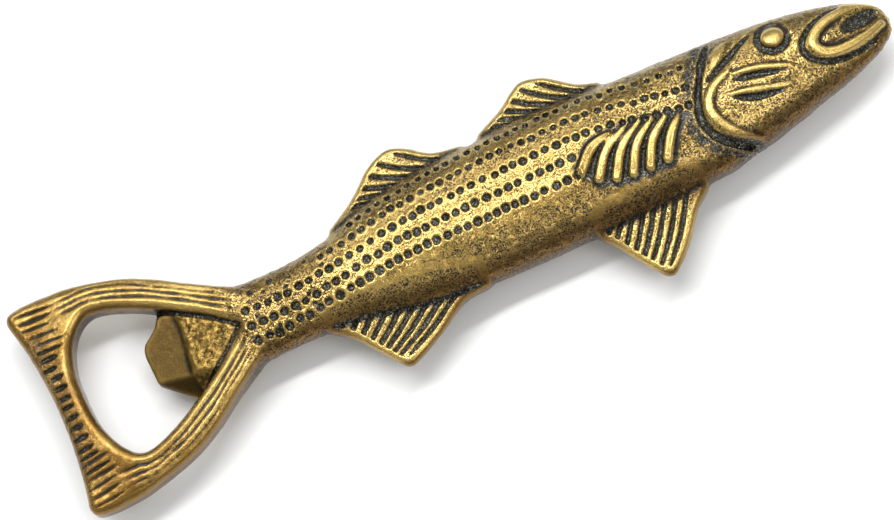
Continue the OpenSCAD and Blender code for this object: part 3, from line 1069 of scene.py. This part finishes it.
PATINA = (0.030, 0.029, 0.021)
PAINTED_GLINT = (0.40, 0.39, 0.31)
UMBER = (0.10, 0.062, 0.020)
LIP_BROWN = (0.17, 0.108, 0.030)
OLD_GOLD = (0.34, 0.218, 0.056)
GOLD = (0.60, 0.42, 0.130)
BELLY_PAINTED_SHADE = (0.36, 0.28, 0.20)
BACK_PAINTED_SHADE = (0.62, 0.66, 0.78)
BRONZE = (0.42, 0.33, 0.20)


def tarnish(s, rubbed, depth, soot_and_shade):
    """Takes gold away in fine black specks, in clusters, fewer where the casting is worn smooth."""
    speck = s.remap(s.noise(0.29, 3.0, 0.65), 0.505, 0.575)
    cluster = s.remap(s.noise(2.4, 3.0, 0.6), 0.34, 0.60, 0.35, 1.0)
    bare = s.remap(s.attribute("smooth"), 0.2, 0.9, 1.0, 0.08)
    amount = s.math("MULTIPLY", s.math("MULTIPLY", speck, cluster), bare)
    rubbed = s.math("MULTIPLY_ADD", amount, -depth, rubbed)
    # Darkens by the soot map, which holds groove patina and, in places, painted shade.
    rubbed = s.math("MULTIPLY_ADD", soot_and_shade, -0.7, rubbed)
    return s.math("MINIMUM", s.math("MAXIMUM", rubbed, 0.0), 1.0), amount


def painted_glints(s, colour, soot_and_shade):
    """Painted highlights: small pale grains on the floors of the grooves, lighter than the patina round
    them.
    """
    grain = s.remap(s.noise(0.30, 2.0, 0.6), 0.52, 0.64)
    return s.mix(s.math("MULTIPLY", grain, s.remap(soot_and_shade, 0.15, 0.7, 0.0, 0.7)), colour, PAINTED_GLINT)


def casting_grain(s, soot_and_shade, pits, grain):
    """Bump: fine grain all over, pits under the specks, and a coarse crust on the floors of the grooves."""
    crust = s.math("MULTIPLY", s.noise(0.32, 2.0, 0.6), s.math("MULTIPLY_ADD", soot_and_shade, 3.0, 0.25))
    below = s.bump(grain, 0.04)
    below = s.bump(crust, 0.09, 1.0, below)
    return s.bump(s.math("MULTIPLY", pits, -1.0), 0.13, 1.0, below)


def antique_brass():
    """Sand-cast brass: dark patina in every hollow and pit, rubbed back to gold on what stands proud;
    painted shade on the belly, back and steep walls, and painted glints in the grooves.
    """
    s = Shader("antique_brass")
    fine, broad = s.attribute("fine"), s.attribute("broad")
    wall, upward = s.attribute("wall"), s.attribute("upward")
    soot_and_shade = s.attribute("soot_and_shade")
    mottle = s.math("SUBTRACT", s.noise(6.0, 3.0), 0.5)
    grain = s.noise(0.22, 2.0, 0.6)
    rubbed = s.math("MULTIPLY_ADD", fine, 1.5, 0.64)
    rubbed = s.math("MULTIPLY_ADD", broad, 0.7, rubbed)
    rubbed = s.math("MULTIPLY_ADD", mottle, 0.35, rubbed)
    rubbed = s.math("MULTIPLY_ADD", s.math("SUBTRACT", grain, 0.5), 0.35, rubbed)
    # Painted shade: steep walls, which face away from the lights overhead, are darkened.
    rubbed = s.math("MULTIPLY_ADD", s.remap(wall, 0.45, 0.95), -0.20, rubbed)
    rubbed, pits = tarnish(s, rubbed, 0.80, soot_and_shade)
    colour = s.ramp(rubbed, ((0.0, PATINA), (0.22, PATINA), (0.36, UMBER), (0.55, OLD_GOLD), (0.95, GOLD)))
    # Painted shade: darker brown towards the belly and a darker, cooler grey towards the back, by which way
    # the broad surface faces.
    tint = s.mix(s.remap(upward, -0.30, -0.80), (1.0, 1.0, 1.0), BELLY_PAINTED_SHADE)
    tint = s.mix(s.remap(upward, 0.20, 0.85), tint, BACK_PAINTED_SHADE)
    cloud = s.remap(s.noise(5.0, 3.0), 0.35, 0.65, 0.55, 1.0)
    browned = s.math("MULTIPLY", s.attribute("brown"), cloud)
    # Painted shade: the bronze tone is laid on heavier on steep walls.
    browned = s.math("MULTIPLY", browned, s.remap(wall, 0.2, 0.95, 1.0, 1.6))
    tint = s.mix(s.math("MINIMUM", browned, 1.0), tint, BRONZE)
    colour = s.mix(1.0, colour, tint, "MULTIPLY")
    s.put(s.surface.inputs["Base Color"], painted_glints(s, colour, soot_and_shade))
    s.put(s.surface.inputs["Metallic"], s.remap(rubbed, 0.05, 0.35, 0.9, 1.0))
    rough = s.remap(rubbed, 0.15, 0.60, 0.30, 0.22)
    s.put(s.surface.inputs["Roughness"], s.math("MULTIPLY_ADD", s.math("SUBTRACT", grain, 0.5), 0.15, rough))
    s.surface.inputs["Coat Weight"].default_value = 0.3
    s.surface.inputs["Coat Roughness"].default_value = 0.25
    s.put(s.surface.inputs["Normal"], casting_grain(s, soot_and_shade, pits, grain))
    return s.material


def ground_brass():
    """The lip: duller brass, browned, with a fine even grain where it was ground, painted shade on its steep
    walls and painted glints in its crevice.
    """
    s = Shader("ground_brass")
    fine, wall = s.attribute("fine"), s.attribute("wall")
    soot_and_shade = s.attribute("soot_and_shade")
    mottle = s.math("SUBTRACT", s.noise(5.0, 2.0), 0.5)
    grain = s.noise(0.24, 2.0, 0.6)
    cast = s.remap(s.attribute("smooth"), 0.3, 0.8, 0.3, 0.0)
    rubbed = s.math("ADD", s.math("MULTIPLY_ADD", fine, 1.6, 0.42), cast)
    rubbed = s.math("MULTIPLY_ADD", mottle, 0.25, rubbed)
    rubbed = s.math("MULTIPLY_ADD", s.math("SUBTRACT", grain, 0.5), 0.45, rubbed)
    # Painted shade: the lip's steep walls are darkened.
    rubbed = s.math("MULTIPLY_ADD", s.remap(wall, 0.25, 0.7), -0.28, rubbed)
    rubbed, pits = tarnish(s, rubbed, 0.35, soot_and_shade)
    colour = s.ramp(rubbed, ((0.0, PATINA), (0.2, PATINA), (0.36, UMBER), (0.6, LIP_BROWN), (0.9, OLD_GOLD)))
    s.put(s.surface.inputs["Base Color"], painted_glints(s, colour, soot_and_shade))
    s.surface.inputs["Metallic"].default_value = 1.0
    s.put(s.surface.inputs["Roughness"], s.remap(rubbed, 0.1, 0.9, 0.44, 0.32))
    s.put(s.surface.inputs["Normal"], casting_grain(s, soot_and_shade, pits, grain))
    return s.material


# ---- Studio
VIEW_TILT = math.radians(16.9)
VIEW_ROLL = math.radians(24.94)
VIEW_DISTANCE = 0.610
VIEW_WIDTH = 0.1578
LOOK_Y = FISH_LO[1] + 0.443 * (FISH_HI[1] - FISH_LO[1])
LOOK_AT = Vector(ORIGIN + np.array([0.4607 * LENGTH, LOOK_Y, 0]) * MM)


def camera():
    """Looks down on the right flank, a little from the belly's side, with the snout up to the right."""
    back = Vector((0, -math.sin(VIEW_TILT), math.cos(VIEW_TILT)))
    along = Vector((1, 0, 0))
    across = back.cross(along)
    right = along * math.cos(VIEW_ROLL) - across * math.sin(VIEW_ROLL)
    up = along * math.sin(VIEW_ROLL) + across * math.cos(VIEW_ROLL)
    data = bpy.data.cameras.new("camera")
    data.sensor_width = 36.0
    data.lens = data.sensor_width * VIEW_DISTANCE / VIEW_WIDTH
    data.clip_start = 0.01
    eye = bpy.data.objects.new("camera", data)
    turn = Matrix((right, up, back)).transposed().to_4x4()
    eye.matrix_world = Matrix.Translation(LOOK_AT + back * VIEW_DISTANCE) @ turn
    bpy.context.scene.collection.objects.link(eye)
    bpy.context.scene.camera = eye


def softbox(name, bearing, tilt, distance, length, width, power, colour=(1, 1, 1)):
    """A long light over the fish: tilt is its angle from overhead, towards the bearing, both in degrees."""
    tilt, bearing = math.radians(tilt), math.radians(bearing)
    way = Vector((math.sin(tilt) * math.cos(bearing), math.sin(tilt) * math.sin(bearing), math.cos(tilt)))
    data = bpy.data.lights.new(name, "AREA")
    data.shape = "RECTANGLE"
    data.size, data.size_y = length, width
    data.energy = power
    data.color = colour
    light = bpy.data.objects.new(name, data)
    across = way.cross(Vector((1, 0, 0))).normalized()
    turn = Matrix((across.cross(way), across, way)).transposed().to_4x4()
    light.matrix_world = Matrix.Translation(LOOK_AT + way * distance) @ turn
    bpy.context.scene.collection.objects.link(light)


def studio():
    """Soft overcast light, a strip that draws the highlight along the flank, and a small one for the jaw."""
    softbox("strip", 90, 17, 0.55, 0.55, 0.06, 1.9)
    softbox("overhead", 90, 40, 0.9, 1.2, 0.4, 2.6, (0.97, 0.98, 1.0))
    softbox("jaw", -44, 32, 0.6, 0.22, 0.22, 0.6)
    world = bpy.data.worlds.new("studio")
    world.use_nodes = True
    tree = world.node_tree
    way = tree.nodes.new("ShaderNodeSeparateXYZ")
    tree.links.new(tree.nodes.new("ShaderNodeTexCoord").outputs["Generated"], way.inputs[0])
    height = tree.nodes.new("ShaderNodeMapRange")
    tree.links.new(way.outputs["Z"], height.inputs["Value"])
    for name, value in (("From Min", -0.1), ("From Max", 0.9), ("To Min", 0.2), ("To Max", 0.72)):
        height.inputs[name].default_value = value
    tree.links.new(height.outputs["Result"], tree.nodes["Background"].inputs["Strength"])
    tree.nodes["Background"].inputs["Color"].default_value = (0.97, 0.99, 1.0, 1)
    bpy.context.scene.world = world
    bpy.context.scene.view_settings.view_transform = "Standard"


def floor():
    """A plain pale sheet that the fish lies on."""
    mesh = bpy.data.meshes.new("floor")
    reach = 2.5
    level = CAD_BOX[0][2] - 0.00005
    corners = [(x * reach, y * reach, level) for x, y in ((-1, -1), (1, -1), (1, 1), (-1, 1))]
    mesh.from_pydata(corners, [], [(0, 1, 2, 3)])
    piece = bpy.data.objects.new("floor", mesh)
    bpy.context.scene.collection.objects.link(piece)
    s = Shader("paper")
    s.put(s.surface.inputs["Base Color"], s.mix(s.noise(40.0), (0.93, 0.93, 0.92), (0.95, 0.95, 0.945)))
    s.surface.inputs["Roughness"].default_value = 0.7
    mesh.materials.append(s.material)


# ---- The casting
PIECES = sculpt()
FINISH = {"antique_brass": antique_brass(), "ground_brass": ground_brass()}
for node, piece in PIECES.items():
    slot = "ground_brass" if node == "prying_lip" else "antique_brass"
    piece.data.materials.append(FINISH[slot])
    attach(piece, "root")
    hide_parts(node)
camera()
studio()
floor()
